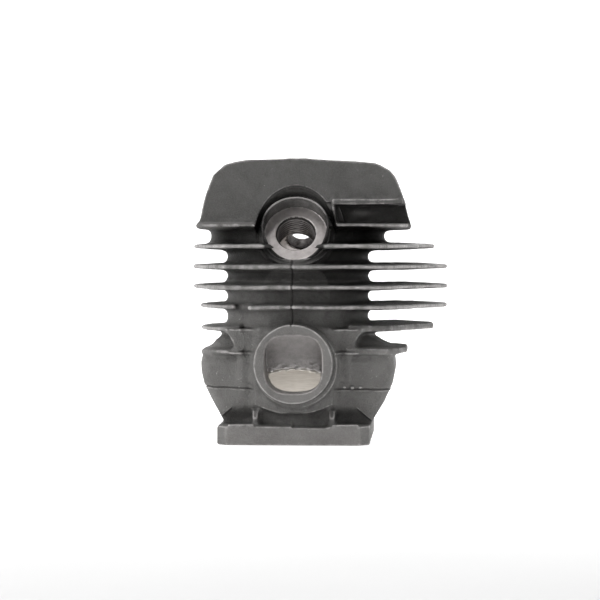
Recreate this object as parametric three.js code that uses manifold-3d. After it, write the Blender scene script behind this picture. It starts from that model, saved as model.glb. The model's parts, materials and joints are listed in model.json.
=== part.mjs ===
// Air-cooled two-stroke cylinder with its head cast in one piece, for a 44 mm bore saw engine.
// Millimetres. Origin on the bore axis at the base gasket plane, +Z up the bore, -Y the intake side.
import * as THREE from 'three';
import { mergeVertices } from 'three/addons/utils/BufferGeometryUtils.js';
import Module from 'manifold-3d';

const wasm = await Module();
wasm.setup();

// ---------- driving dimensions ----------
const AROUND = 48; // facets on every circle about the bore axis
const GAP = 0.05; // clearance between two sections of the casting
const TILT_GAP = 0.1; // the same where one of them is tilted

const BORE_R = 22;
const LINING_R = 23;
const BARREL_R = 25.1;
const SHOULDER = { halfX: 30.7, frontY: -12, rearY: 22, cornerR: 7, z0: 68.9, z1: 77.6 };
const SQUISH_Z = 57; // flat squish band around the combustion dome
const DOME_R = 20;
const DOME_Z = 55;

const FLANGE = { halfX: 26.5, halfY: 33, top: 6.6, corner: 3.5 };
const SCREW = { x: 19.6, y: 28.4, holeR: 2.75, pocketR: 6.2, pocketTop: 12.4, driverR: 3.8 };

// bosses: centre of the seat, tilt in degrees, and lengths along the axis to either side of the seat
const PLUG = { x: 0.5, y: -22, z: 73.3, tilt: 32.4, collarR: 13.4, threadR: 6.4, inner: 13.9, outer: 5.8 };
const DECOMP = { x: 0.4, y: 11.5, z: 71.4, tilt: 30, outerR: 9.6, threadR: 4.5, inner: 5.9, outer: 11.5 };
const PLUG_SEAT_R = 11;
const DECOMP_SEAT = { r: 7.5, depth: 2.5 };
const BOSS_ROOM = 30; // how far out the plug and the valve are given free space

const INTAKE = { z: 28, faceY: -37, spigotR: 13.5, collarR: 15.8, collarY: -29.5 };
const INTAKE_PORT = { width: 19.8, cornerR: 6.5, floorZ: 10 };
const SPIGOT_ROOT_Y = -20; // the pipe, its saddle and the ribs reach in to here, up to the barrel
const INTAKE_ROOF_Z = 26; // where the sloping duct roof meets the bore
const SADDLE = { halfX: 13.2, z0: 10.8, z1: 22, cornerR: 1.5 }; // block under the intake pipe
const CLAMP_RELIEF = { r: 19, y: -26.2 }; // round relief in the fins for the intake pipe's clamp
const EXHAUST = { z: 32.5, faceY: 40, flangeY: 35.5, halfX: 25, halfZ: 11.5, cornerR: 6 };
const EXHAUST_DUCT = { halfX: 15.5, halfZ: 9, rootY: 12 };
const EXHAUST_PORT = { halfX: 12, halfZ: 5.5, cornerR: 3.5, studX: 19.5, studR: 2.1 };

const TRANSFER = { frontY: -25, rearY: 21, halfOpening: 10, footZ: 14, sillZ: 21, roofZ: 31.5 };
const DOME = { frontInset: 6, rearInset: 3, topZ: 38.2 }; // the narrower top of each transfer housing
// the blocks on both sides of the pipe, over the seventh fin
const INTAKE_BLOCK = { footX: 20.2, footZ: 33.2, topX: 22.8, rearY: -12 };
const DUCT_END_Y = 15; // both ducts are cut this far into the bore

const FIN = { rootT: 3, edgeT: 1.5, ridge: 0.35 };
const FIN_Z = { a: 76, b: 68.8, c: 61.6, d: 54.5, e: 47.6, f: 39.8, g: 31.9 };

const HEAD_FIN = { frontY: -22.3, thick: 2.5, pitch: 7.4, count: 7, foot: 75 };
// air channel low in the right half of the front plate
const SIDE_CHANNEL = { x0: 14.2, z0: 77.6, z1: 83.4 };
const LEDGE = { x0: 13.2, x1: 37.6, frontY: -25.2, z1: 85.3, postX: 14.6 };
const RIB = { x: 12.9, thick: 0.8, frontY: -30.5, top: 10.7 };
const WIDE = 60; // further out than any part of the casting
const LEVEL_FINS = { z0: 20, z1: 90 }; // a span of height that takes in every level fin

// ---------- helpers ----------
function solid(geometry) {
  const g = geometry.clone();
  g.deleteAttribute('normal');
  g.deleteAttribute('uv');
  const merged = mergeVertices(g, 1e-4);
  const vertProperties = new Float32Array(merged.attributes.position.array);
  const triVerts = new Uint32Array(merged.index.array);
  return new wasm.Manifold(new wasm.Mesh({ numProp: 3, vertProperties, triVerts }));
}

function shapeOf(points) {
  return new THREE.Shape(points.map(([a, b]) => new THREE.Vector2(a, b)));
}

function rectangle(x0, x1, y0, y1) {
  return [[x0, y0], [x1, y0], [x1, y1], [x0, y1]];
}

// corners of a polygon replaced by arcs of radius r, each in `steps` pieces
function rounded(points, r, steps = 3) {
  const out = [];
  points.forEach((corner, i) => {
    const c = new THREE.Vector2(...corner);
    const before = new THREE.Vector2(...points[(i + points.length - 1) % points.length]).sub(c);
    const after = new THREE.Vector2(...points[(i + 1) % points.length]).sub(c);
    const cosine = before.dot(after) / before.length() / after.length();
    const half = Math.acos(THREE.MathUtils.clamp(cosine, -1, 1)) / 2;
    const reach = Math.min(r / Math.tan(half), before.length() * 0.49, after.length() * 0.49);
    const start = before.setLength(reach).add(c);
    const end = after.setLength(reach).add(c);
    for (let k = 0; k <= steps; k += 1) {
      const t = k / steps;
      const a = start.clone().lerp(c, t);
      const b = c.clone().lerp(end, t);
      const p = a.lerp(b, t);
      out.push([p.x, p.y]);
    }
  });
  return out;
}

function prismZ(points, z0, z1) {
  const g = new THREE.ExtrudeGeometry(shapeOf(points), { depth: z1 - z0, bevelEnabled: false });
  return solid(g.translate(0, 0, z0));
}

// outline given in X and Z, drawn out along Y
function prismY(points, y0, y1) {
  const g = new THREE.ExtrudeGeometry(shapeOf(points), { depth: y1 - y0, bevelEnabled: false });
  return solid(g.rotateX(Math.PI / 2).translate(0, y1, 0));
}

// outline given in Y and Z, drawn out along X
function prismX(points, x0, x1) {
  const g = new THREE.ExtrudeGeometry(shapeOf(points), { depth: x1 - x0, bevelEnabled: false });
  return solid(g.rotateX(Math.PI / 2).rotateZ(Math.PI / 2).translate(x0, 0, 0));
}

function box(x0, x1, y0, y1, z0, z1) {
  const g = new THREE.BoxGeometry(x1 - x0, y1 - y0, z1 - z0);
  return solid(g.translate((x0 + x1) / 2, (y0 + y1) / 2, (z0 + z1) / 2));
}

function turned(profile) {
  const g = new THREE.LatheGeometry(profile.map(([r, z]) => new THREE.Vector2(r, z)), AROUND);
  return solid(g.rotateX(Math.PI / 2));
}

function postAt(x, y, r, z0, z1, facets = 16) {
  const g = new THREE.CylinderGeometry(r, r, z1 - z0, facets);
  return solid(g.rotateX(Math.PI / 2).translate(x, y, (z0 + z1) / 2));
}

function roundY(x, z, r, y0, y1, facets = 32) {
  return solid(new THREE.CylinderGeometry(r, r, y1 - y0, facets).translate(x, (y0 + y1) / 2, z));
}

// round bar along a boss axis; s runs outward from the seat centre
function alongBoss(boss, side, r, s0, s1, facets = 28) {
  const axis = new THREE.Vector3(0, side * Math.cos(boss.tilt * THREE.MathUtils.DEG2RAD),
    Math.sin(boss.tilt * THREE.MathUtils.DEG2RAD));
  const g = new THREE.CylinderGeometry(r, r, s1 - s0, facets);
  g.applyQuaternion(new THREE.Quaternion().setFromUnitVectors(new THREE.Vector3(0, 1, 0), axis));
  const middle = axis.multiplyScalar((s0 + s1) / 2);
  return solid(g.translate(boss.x + middle.x, boss.y + middle.y, boss.z + middle.z));
}

function mirrored(points) {
  return points.map(([x, y]) => [-x, y]).reverse();
}

function radiusToOutline(points, angle) {
  const dx = Math.cos(angle);
  const dy = Math.sin(angle);
  let far = 0;
  points.forEach(([x0, y0], i) => {
    const [x1, y1] = points[(i + 1) % points.length];
    const ex = x1 - x0;
    const ey = y1 - y0;
    const det = ex * dy - ey * dx;
    if (Math.abs(det) < 1e-9) return;
    const t = (ex * y0 - ey * x0) / det;
    const u = (dx * y0 - dy * x0) / det;
    if (t > 0 && u >= -1e-9 && u <= 1 + 1e-9) far = Math.max(far, t);
  });
  return far;
}

// drafted cooling fin: thick at the root circle, thin at the outline, with a ridge round its edge
function fin(z, outline, grow = 0) {
  const smooth = rounded(outline, 4);
  const rootHalf = FIN.rootT / 2 + grow;
  const edgeHalf = FIN.edgeT / 2 + grow;
  const rings = [
    { at: () => BARREL_R + GAP - grow, h: rootHalf },
    { at: (far) => far - FIN.ridge + grow, h: edgeHalf },
    { at: (far) => far + grow, h: 0 },
    { at: (far) => far - FIN.ridge + grow, h: -edgeHalf },
    { at: () => BARREL_R + GAP - grow, h: -rootHalf },
  ];
  const positions = [];
  for (let k = 0; k < AROUND; k += 1) {
    const angle = (k / AROUND) * 2 * Math.PI;
    const far = radiusToOutline(smooth, angle);
    rings.forEach(({ at, h }) => {
      const r = at(far);
      positions.push(r * Math.cos(angle), r * Math.sin(angle), z + h);
    });
  }
  const index = [];
  for (let k = 0; k < AROUND; k += 1) {
    for (let j = 0; j < rings.length; j += 1) {
      const jn = (j + 1) % rings.length;
      const a = k * rings.length + j;
      const b = ((k + 1) % AROUND) * rings.length + j;
      const c = ((k + 1) % AROUND) * rings.length + jn;
      const d = k * rings.length + jn;
      index.push(a, d, b, b, d, c);
    }
  }
  const g = new THREE.BufferGeometry();
  g.setAttribute('position', new THREE.Float32BufferAttribute(positions, 3));
  g.setIndex(index);
  return solid(g);
}

const model = new THREE.Group();
model.name = 'cylinder_head';

function add(name, body, color, roughness, metalness) {
  const mesh = body.getMesh();
  const g = new THREE.BufferGeometry();
  g.setAttribute('position', new THREE.Float32BufferAttribute(mesh.vertProperties, 3));
  g.setIndex(Array.from(mesh.triVerts));
  const flat = g.toNonIndexed();
  flat.computeVertexNormals();
  const node = new THREE.Mesh(flat, new THREE.MeshStandardMaterial({ color, roughness, metalness }));
  node.name = name;
  model.add(node);
}

const CAST = [0x77767a, 0.62, 0.7];
const CAST_DARK = [0x5c5b5a, 0.68, 0.65];
const MACHINED = [0xa39b9b, 0.38, 0.85];
const PLATED = [0xb3aca4, 0.22, 0.9];

// ---------- spaces cut through several sections ----------
const driverHoles = [-1, 1].flatMap((sx) => [-1, 1].map((sy) => [sx * SCREW.x, sy * SCREW.y]));

function cutDriverHoles(body, z0, z1) {
  return driverHoles.reduce((left, [x, y]) => left.subtract(postAt(x, y, SCREW.driverR, z0, z1)), body);
}

// rounded-square intake duct whose roof slopes down to the bore
const halfPort = INTAKE_PORT.width / 2;
const portTop = INTAKE.z + halfPort;
const intakeSection = rounded(
  rectangle(-halfPort, halfPort, INTAKE.z - halfPort, portTop), INTAKE_PORT.cornerR, 4,
);
const intakeSide = [
  [INTAKE.faceY - 2, INTAKE_PORT.floorZ], [-DUCT_END_Y, INTAKE_PORT.floorZ], [-DUCT_END_Y, INTAKE_ROOF_Z],
  [-LINING_R, INTAKE_ROOF_Z], [INTAKE.faceY + 1, portTop], [INTAKE.faceY - 2, portTop],
];
const intakeDuct = prismY(intakeSection, INTAKE.faceY - 1, -DUCT_END_Y)
  .intersect(prismX(intakeSide, -halfPort - 1, halfPort + 1));

// a rectangle about the exhaust's centre, in X and Z
function aboutExhaust({ halfX, halfZ }) {
  return rectangle(-halfX, halfX, EXHAUST.z - halfZ, EXHAUST.z + halfZ);
}
const exhaustSection = rounded(aboutExhaust(EXHAUST_PORT), EXHAUST_PORT.cornerR);
const exhaustDuct = prismY(exhaustSection, DUCT_END_Y, EXHAUST.faceY + 1);

// transfer passage: in through a foot in the barrel skirt, up the housing, out through a bore window
// the left one starts higher and keeps closer to the barrel, because its housing is the slimmer
const passageOutside = {
  left: [[20, 8], [LINING_R, 8], [25.2, 10.6], [27.2, TRANSFER.footZ], [30.6, 25], [30, 28.5],
    [28, TRANSFER.roofZ]],
  right: [[20, -1], [25.3, -1], [25.3, 8], [27.8, TRANSFER.footZ], [32.4, 25], [31.6, 28.5],
    [29, TRANSFER.roofZ]],
};
function transferPassage(side) {
  const path = [
    ...(side > 0 ? passageOutside.right : passageOutside.left), [20, TRANSFER.roofZ - 2],
    [20, TRANSFER.sillZ], [BARREL_R + TILT_GAP, TRANSFER.sillZ], [BARREL_R + TILT_GAP, TRANSFER.footZ],
    [20, TRANSFER.footZ],
  ];
  return prismY(side > 0 ? path : mirrored(path), -TRANSFER.halfOpening, TRANSFER.halfOpening);
}
const transferPassages = transferPassage(1).add(transferPassage(-1));

function cutPorts(body) {
  return body.subtract(intakeDuct).subtract(exhaustDuct).subtract(transferPassages);
}

// ---------- running surface and barrel ----------
const lining = turned([
  [LINING_R, 0], [LINING_R, SQUISH_Z], [BORE_R, SQUISH_Z], [BORE_R, 1.2], [BORE_R + 0.6, 0], [LINING_R, 0],
]);
add('bore_lining', cutPorts(lining), ...PLATED);

const barrel = turned([
  [BARREL_R, 0], [BARREL_R, SQUISH_Z], [LINING_R + GAP, SQUISH_Z], [LINING_R + GAP, 0], [BARREL_R, 0],
]);
add('cylinder_barrel', cutPorts(barrel), ...CAST);

const roomTop = SHOULDER.z0 - 1;
const barrelRoom = turned([[0, -5], [BARREL_R + GAP, -5], [BARREL_R + GAP, roomTop], [0, roomTop]]);

// ---------- combustion head ----------
const headTop = SQUISH_Z + GAP;
const headProfile = [
  [0, headTop], [BARREL_R, headTop], [BARREL_R, SHOULDER.z1], [24.4, 79.4], [22, 81.2], [15, 83.4],
  [0, 84.4],
];
const shoulderOutline = rounded(
  rectangle(-SHOULDER.halfX, SHOULDER.halfX, SHOULDER.frontY, SHOULDER.rearY), SHOULDER.cornerR,
);
const shoulder = prismZ(shoulderOutline, SHOULDER.z0, SHOULDER.z1);
const shoulderGrown = shoulderOutline.map(([x, y]) => [x * 1.002, y * 1.003]);
const shoulderRoom = prismZ(shoulderGrown, SHOULDER.z0 - GAP, SHOULDER.z1 + GAP);
const chamberProfile = [[0, SQUISH_Z - 5]];
for (let k = 0; k <= 5; k += 1) {
  const rise = (k / 5) * (DOME_Z + DOME_R - SQUISH_Z);
  const z = SQUISH_Z + rise;
  chamberProfile.push([Math.sqrt(Math.max(DOME_R ** 2 - (z - DOME_Z) ** 2, 0)), z]);
}
chamberProfile.splice(1, 0, [chamberProfile[1][0], SQUISH_Z - 5]);
const headOutside = turned(headProfile).add(shoulder);
const chamber = turned(chamberProfile);
const plugRoom = alongBoss(PLUG, -1, PLUG.collarR + TILT_GAP, -PLUG.inner - TILT_GAP, BOSS_ROOM);
const decompRoom = alongBoss(DECOMP, 1, DECOMP.outerR + TILT_GAP, -DECOMP.inner - TILT_GAP, BOSS_ROOM);
const headBody = headOutside.subtract(chamber).subtract(plugRoom).subtract(decompRoom);
add('combustion_head', headBody, ...CAST_DARK);

// ---------- plug and decompression bosses ----------
const plugBoss = alongBoss(PLUG, -1, PLUG.collarR, -PLUG.inner, PLUG.outer)
  .subtract(alongBoss(PLUG, -1, PLUG_SEAT_R, 0, BOSS_ROOM))
  .subtract(alongBoss(PLUG, -1, PLUG.threadR, -BOSS_ROOM, BOSS_ROOM))
  .subtract(chamber);
add('spark_plug_boss', plugBoss, ...MACHINED);

const decompBoss = alongBoss(DECOMP, 1, DECOMP.outerR, -DECOMP.inner, DECOMP.outer)
  .subtract(alongBoss(DECOMP, 1, DECOMP_SEAT.r, DECOMP.outer - DECOMP_SEAT.depth, BOSS_ROOM))
  .subtract(alongBoss(DECOMP, 1, DECOMP.threadR, -BOSS_ROOM, BOSS_ROOM))
  .subtract(chamber);
add('decompression_valve_boss', decompBoss, ...MACHINED);

// ---------- crankcase flange ----------
const flangeOutline = [];
[[-1, -1], [1, -1], [1, 1], [-1, 1]].forEach(([sx, sy]) => {
  const nearX = [sx * (FLANGE.halfX - FLANGE.corner), sy * FLANGE.halfY];
  const nearY = [sx * FLANGE.halfX, sy * (FLANGE.halfY - FLANGE.corner)];
  flangeOutline.push(...(sx * sy > 0 ? [nearY, nearX] : [nearX, nearY]));
});
const flangePlate = prismZ(flangeOutline, 0, FLANGE.top)
  .subtract(turned([[0, -5], [BARREL_R + GAP, -5], [BARREL_R + GAP, 20], [0, 20]]));
const flange = driverHoles.reduce(
  (body, [x, y]) => body.subtract(postAt(x, y, SCREW.holeR, -1, FLANGE.top + 1)),
  flangePlate,
);
add('base_flange', flange, ...CAST);

// ---------- transfer housings ----------
const onFlange = FLANGE.top + GAP;
const lowTop = FIN_Z.g - 1.6; // each housing's lower part ends just under the seventh fin
const housingLow = {
  left: [[13.8, onFlange], [24.6, onFlange], [24.9, 7.6], [28.7, 14.6], [31.9, 21], [32.8, 25.2],
    [32.9, 28.6], [32.2, lowTop], [13.8, lowTop]],
  right: [[13.8, onFlange], [26.7, onFlange], [27.2, 7.6], [31.5, 14.6], [34.4, 21], [35.3, 25.8],
    [34.9, 29.4], [34.1, lowTop], [13.8, lowTop]],
};
const highFoot = lowTop - 0.1;
const housingHigh = {
  left: [[13.8, highFoot], [31.2, highFoot], [30.2, 34], [28.3, 36.4], [25.5, 37.8], [21.5, DOME.topZ],
    [13.8, DOME.topZ]],
  right: [[13.8, highFoot], [32.8, highFoot], [31.6, 34], [29, 36.2], [26, 37.6], [22, DOME.topZ],
    [13.8, DOME.topZ]],
};
const blockOutline = [
  [13.8, highFoot], [INTAKE_BLOCK.footX, highFoot], [INTAKE_BLOCK.footX, INTAKE_BLOCK.footZ],
  [INTAKE_BLOCK.topX, DOME.topZ], [13.8, DOME.topZ],
];
const intakeBlocks = { left: blockOutline, right: blockOutline };
const onSide = (outlines, side) => (side > 0 ? outlines.right : mirrored(outlines.left));
const pockets = driverHoles.map(([x, y]) => postAt(x, y, SCREW.pocketR, 0, SCREW.pocketTop));

function transferHousing(side) {
  const low = prismY(onSide(housingLow, side), TRANSFER.frontY, TRANSFER.rearY);
  const high = prismY(
    onSide(housingHigh, side), TRANSFER.frontY + DOME.frontInset, TRANSFER.rearY - DOME.rearInset,
  );
  const block = prismY(onSide(intakeBlocks, side), TRANSFER.frontY, INTAKE_BLOCK.rearY);
  const shell = low.add(high).add(block).subtract(barrelRoom).subtract(transferPassages);
  const clear = pockets.reduce((body, pocket) => body.subtract(pocket), shell);
  const rearHalf = EXHAUST_DUCT.halfX + GAP;
  const rearDuct = box(-rearHalf, rearHalf, EXHAUST_DUCT.rootY - 2, WIDE, LEVEL_FINS.z0, WIDE);
  const collarRoom = roundY(0, INTAKE.z, INTAKE.collarR + GAP, INTAKE.faceY - 5, -DUCT_END_Y);
  return clear.subtract(rearDuct).subtract(collarRoom);
}
add('transfer_housing_left', transferHousing(-1), ...CAST);
add('transfer_housing_right', transferHousing(1), ...CAST);

// ---------- intake spigot ----------
const saddleOutline = rounded(
  rectangle(-SADDLE.halfX, SADDLE.halfX, SADDLE.z0, SADDLE.z1), SADDLE.cornerR, 2,
);
const saddle = prismY(saddleOutline, INTAKE.collarY, SPIGOT_ROOT_Y);
const spigot = roundY(0, INTAKE.z, INTAKE.spigotR, INTAKE.faceY, SPIGOT_ROOT_Y)
  .add(roundY(0, INTAKE.z, INTAKE.collarR, INTAKE.collarY, SPIGOT_ROOT_Y))
  .add(saddle)
  .subtract(barrelRoom)
  .subtract(intakeDuct);
add('intake_spigot', spigot, ...CAST);

// ---------- exhaust flange ----------
const exhaustFlangeOutline = rounded(aboutExhaust(EXHAUST), EXHAUST.cornerR);
const studHoles = [-1, 1].map((side) => (
  roundY(side * EXHAUST_PORT.studX, EXHAUST.z, EXHAUST_PORT.studR, EXHAUST.flangeY - 5, WIDE, 12)
));
const exhaustBody = prismY(exhaustFlangeOutline, EXHAUST.flangeY, EXHAUST.faceY)
  .add(prismY(aboutExhaust(EXHAUST_DUCT), EXHAUST_DUCT.rootY, EXHAUST.faceY - 1))
  .subtract(barrelRoom)
  .subtract(exhaustDuct);
add('exhaust_flange', studHoles.reduce((body, hole) => body.subtract(hole), exhaustBody), ...CAST);
const ductRoomOutline = aboutExhaust({ halfX: EXHAUST_DUCT.halfX + GAP, halfZ: EXHAUST_DUCT.halfZ + GAP });
const flangeRoomOutline = aboutExhaust({ halfX: EXHAUST.halfX + 1, halfZ: EXHAUST.halfZ + 6 });
const exhaustRoom = prismY(flangeRoomOutline, EXHAUST.flangeY - 1, WIDE)
  .add(prismY(ductRoomOutline, EXHAUST_DUCT.rootY - 2, WIDE));

// ---------- level cooling fins, from the head down ----------
const finOutline = {
  a: [[-32, -24.4], [37.5, -24.4], [39.7, -22], [39.7, 22], [36, 29], [28, 32.5], [-24, 32.5],
    [-32, 29], [-36.6, 20], [-34.5, -21.5]],
  b: [[-24, -33.5], [28, -33.5], [33, -29], [37, -23], [40, -12], [44.4, -1], [49, 10], [49, 18], [44.4, 29],
    [36, 36.5], [-20, 36.5], [-30, 29], [-36, 18], [-38.1, 6], [-36, -6], [-31, -20], [-28, -27]],
  c: [[-24, -33.5], [28, -33.5], [33, -29], [37, -23], [40, -12], [45.2, 0], [53.6, 12], [53.6, 20], [46, 31],
    [36, 37], [-20, 37], [-30, 30], [-36, 18], [-38.4, 6], [-36, -6], [-31, -20], [-28, -27]],
  d: [[-24, -33.5], [28, -33.5], [33, -29], [37, -23], [40, -12], [45.2, 0], [53.7, 12], [53.7, 20], [46, 31],
    [36, 37.5], [-20, 37.5], [-30, 30], [-36, 18], [-38.2, 6], [-36, -6], [-31, -20], [-28, -27]],
  e: [[-15.3, -33.5], [26, -33.5], [31, -30.5], [36, -27.6], [39.5, -22], [43, -10], [47, 0], [53.5, 12],
    [53.5, 20], [46, 31], [36, 37.5], [-20, 37.5], [-30, 29], [-34, 16], [-35.3, 3], [-33, -6], [-29, -14],
    [-25, -19], [-21.5, -22.6], [-20, -18.4], [-15.3, -22.6]],
  f: [[26, -24], [34, -22.5], [38, -16], [42, -4], [48.5, 6], [48.5, 22], [42, 30], [33, 34], [-24, 33],
    [-31, 25], [-34.7, 12], [-34.7, -1], [-32, -13], [-27, -20], [-22, -25], [-10, -28], [10, -28]],
  g: [[24, -26.4], [32, -25.6], [37, -20], [39.3, -10], [39.3, 14], [36, 24], [28, 28], [-26, 28],
    [-31.5, 25.5], [-33.4, 20], [-33.3, -14], [-30, -23.5], [-24, -26.4], [-10, -26.4], [10, -26.4]],
};

const spigotCleft = roundY(0, INTAKE.z, CLAMP_RELIEF.r, -WIDE, CLAMP_RELIEF.y, 36);
const housingRoom = [-1, 1].map((side) => {
  const outline = side > 0 ? housingHigh.right : housingHigh.left;
  const grown = outline.map(([x, z]) => [x + (x > 20 ? TILT_GAP : 0), z + (z > 32 ? TILT_GAP : 0)]);
  return prismY(
    side > 0 ? grown : mirrored(grown),
    TRANSFER.frontY + DOME.frontInset - TILT_GAP,
    TRANSFER.rearY - DOME.rearInset + TILT_GAP,
  );
});

function clearedFin(key) {
  const spaces = [plugRoom, decompRoom, shoulderRoom, spigotCleft, exhaustRoom, ...housingRoom];
  const body = spaces.reduce((left, space) => left.subtract(space), fin(FIN_Z[key], finOutline[key]));
  return cutDriverHoles(body, FIN_Z.g + 3, LEVEL_FINS.z1);
}

// the top fin is parted by the plug and valve pockets, the two lowest by the intake and exhaust ducts
function addWings(key, number, reach) {
  const body = clearedFin(key);
  const leftSide = box(-WIDE, -reach, -WIDE, WIDE, LEVEL_FINS.z0, LEVEL_FINS.z1);
  const rightSide = box(reach, WIDE, -WIDE, WIDE, LEVEL_FINS.z0, LEVEL_FINS.z1);
  add(`cooling_fin_${number}_left`, body.intersect(leftSide), ...CAST);
  add(`cooling_fin_${number}_right`, body.intersect(rightSide), ...CAST);
}

addWings('a', 1, 1);
['b', 'c', 'd', 'e'].forEach((key, i) => {
  add(`cooling_fin_${i + 2}`, clearedFin(key), ...CAST);
});
addWings('f', 6, 19.5);
addWings('g', 7, 20.5);

// ---------- upright head fins ----------
// half widths and shoulders of the front plate; the ones behind are the same shape, slightly lower
function headFinOutline(drop) {
  return rounded([
    [-33.6, HEAD_FIN.foot], [40.5, HEAD_FIN.foot], [39.9, 77.9], [39.1, 81.4], [38.3, 84.9], [37.2, 88.4],
    [35.8, 91.9], [34.8, 93.6 - drop], [33.2, 95.4 - drop], [30.3, 97.1 - drop], [28.2, 97.8 - drop],
    [24.7, 98.3 - drop], [17.7, 98.7 - drop], [10.7, 99.1 - drop], [3.7, 99.6 - drop], [-1, 99.6 - drop],
    [-6.8, 99.35 - drop], [-13.8, 99.1 - drop], [-17.3, 99 - drop], [-20.8, 98.5 - drop], [-24.3, 97.5 - drop],
    [-26.9, 95.4 - drop], [-28.6, 93.6 - drop], [-29.8, 90.8], [-31, 87.5], [-32.2, 83.2], [-32.9, 79.7],
  ], 1, 1);
}
const headRoom = turned([
  [0, 60], [BARREL_R + GAP, 60], ...headProfile.slice(2).map(([r, z]) => [r ? r + GAP : 0, z + GAP]),
]).add(shoulderRoom);
const finRoomA = fin(FIN_Z.a, finOutline.a, GAP);
const behindPlate = HEAD_FIN.frontY + HEAD_FIN.thick + 0.5;
const channel = box(SIDE_CHANNEL.x0, WIDE, -WIDE, behindPlate, HEAD_FIN.foot, SIDE_CHANNEL.z1);
const below = box(-WIDE, WIDE, -WIDE, WIDE, FIN_Z.a - 16, FIN_Z.a);
for (let k = 0; k < HEAD_FIN.count; k += 1) {
  const y0 = HEAD_FIN.frontY + k * HEAD_FIN.pitch;
  let plate = prismY(headFinOutline(k ? 0.6 + 0.25 * k : 0), y0, y0 + HEAD_FIN.thick)
    .subtract(headRoom)
    .subtract(finRoomA)
    .subtract(below)
    .subtract(plugRoom)
    .subtract(decompRoom);
  if (k === 0) {
    plate = plate.subtract(channel);
  }
  add(`head_fin_${k + 1}`, plate, ...CAST_DARK);
}

// ---------- ledge over the side air channel ----------
const ledge = box(LEDGE.x0, LEDGE.x1, LEDGE.frontY, HEAD_FIN.frontY - GAP, SIDE_CHANNEL.z1, LEDGE.z1)
  .add(box(LEDGE.x0, LEDGE.postX, LEDGE.frontY + 1, HEAD_FIN.frontY - GAP, SIDE_CHANNEL.z0, LEDGE.z1 - 0.5))
  .subtract(plugRoom);
add('head_side_ledge', ledge, ...CAST_DARK);

// ---------- webs between the screw pockets and the recess under the intake ----------
[['left', -1], ['right', 1]].forEach(([name, side]) => {
  const x0 = side > 0 ? RIB.x : -RIB.x - RIB.thick;
  const rib = box(x0, x0 + RIB.thick, RIB.frontY, SPIGOT_ROOT_Y, onFlange, RIB.top).subtract(barrelRoom);
  add(`flange_rib_${name}`, rib, ...CAST);
});

export default model;
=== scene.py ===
import json
import math

import bpy
import numpy as np
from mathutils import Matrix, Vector


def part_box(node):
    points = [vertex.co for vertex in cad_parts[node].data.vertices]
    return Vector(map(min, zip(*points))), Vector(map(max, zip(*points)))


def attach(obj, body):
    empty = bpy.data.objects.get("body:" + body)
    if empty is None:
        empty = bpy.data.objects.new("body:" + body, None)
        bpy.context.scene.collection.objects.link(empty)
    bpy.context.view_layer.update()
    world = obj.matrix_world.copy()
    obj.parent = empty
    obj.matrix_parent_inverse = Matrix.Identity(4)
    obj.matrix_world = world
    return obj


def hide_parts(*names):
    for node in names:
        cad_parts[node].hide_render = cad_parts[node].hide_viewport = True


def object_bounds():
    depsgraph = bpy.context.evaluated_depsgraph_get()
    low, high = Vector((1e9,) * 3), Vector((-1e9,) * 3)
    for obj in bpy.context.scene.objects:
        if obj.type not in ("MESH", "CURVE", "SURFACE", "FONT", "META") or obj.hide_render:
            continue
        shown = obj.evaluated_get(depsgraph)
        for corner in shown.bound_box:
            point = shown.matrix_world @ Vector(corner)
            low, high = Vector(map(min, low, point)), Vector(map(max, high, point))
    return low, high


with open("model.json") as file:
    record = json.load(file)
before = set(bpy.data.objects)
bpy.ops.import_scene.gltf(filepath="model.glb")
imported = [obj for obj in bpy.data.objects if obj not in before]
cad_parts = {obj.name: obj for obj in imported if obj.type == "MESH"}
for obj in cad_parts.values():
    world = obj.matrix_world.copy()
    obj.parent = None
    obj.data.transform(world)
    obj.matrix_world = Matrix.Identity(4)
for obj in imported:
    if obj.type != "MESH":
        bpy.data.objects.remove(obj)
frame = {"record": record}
cad_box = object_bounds()

COARSE = 1.0  # grid steps are this much wider while trying things

# ---------- dimensions in millimetres, taken from the frame where a node gives them ----------


def box_mm(node):
    """Lowest and highest corners of a CAD node."""
    low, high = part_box(node)
    return [1000 * v for v in low], [1000 * v for v in high]


BARREL_R = box_mm("cylinder_barrel")[1][0]
BARREL_TOP = box_mm("cylinder_barrel")[1][2]
LINING_R = box_mm("bore_lining")[1][0]
BORE_R = LINING_R - 1
BORE_TOP = box_mm("bore_lining")[1][2]
DOME_R, DOME_Z = 20, 55
SHOULDER_X = box_mm("combustion_head")[1][0]
FLANGE_X, FLANGE_Y, FLANGE_TOP = box_mm("base_flange")[1]
FLANGE_CORNER = 3.5
SCREW_X, SCREW_Y, SCREW_R, DRIVER_R = 19.6, 28.4, 2.75, 3.8
# the tilted bosses: seat centre, then the thread's least radius, depth, pitch and span along the axis
PLUG = {"x": 0.5, "y": -22, "z": 73.3, "tilt": math.radians(32.4), "side": -1,
        "minor": 6.3, "depth": 0.75, "pitch": 1.25, "thread_from": -14, "thread_to": 0}
DECOMP = {"x": 0.4, "y": 11.5, "z": 71.4, "tilt": math.radians(30), "side": 1,
          "minor": 4.45, "depth": 0.5, "pitch": 1.0, "thread_from": -8, "thread_to": 9}
SEAT_R, TUBE_R, COLLAR_R, COLLAR, POCKET_R = 11, 11.7, 13.4, 5.8, 14.0  # of the plug's socket
VALVE_SEAT_R, VALVE_R, VALVE_LENGTH = 7.5, 9.6, 11.5
STUD_X, STUD_R = 19.5, 2.1
INTAKE_Z = 28
INTAKE_FACE_Y = box_mm("intake_spigot")[0][1]
EXHAUST_Z = 32.5
EXHAUST_FACE_Y = box_mm("exhaust_flange")[1][1]
THICKER = {"f": 0.35, "g": 0.3}  # these fins are heavier, and sit higher, on the +X side
PLATE_FRONT_Y, PLATE_PITCH, PLATE_THICK, PLATE_COUNT = -22.3, 7.4, 2.5, 7
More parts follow.
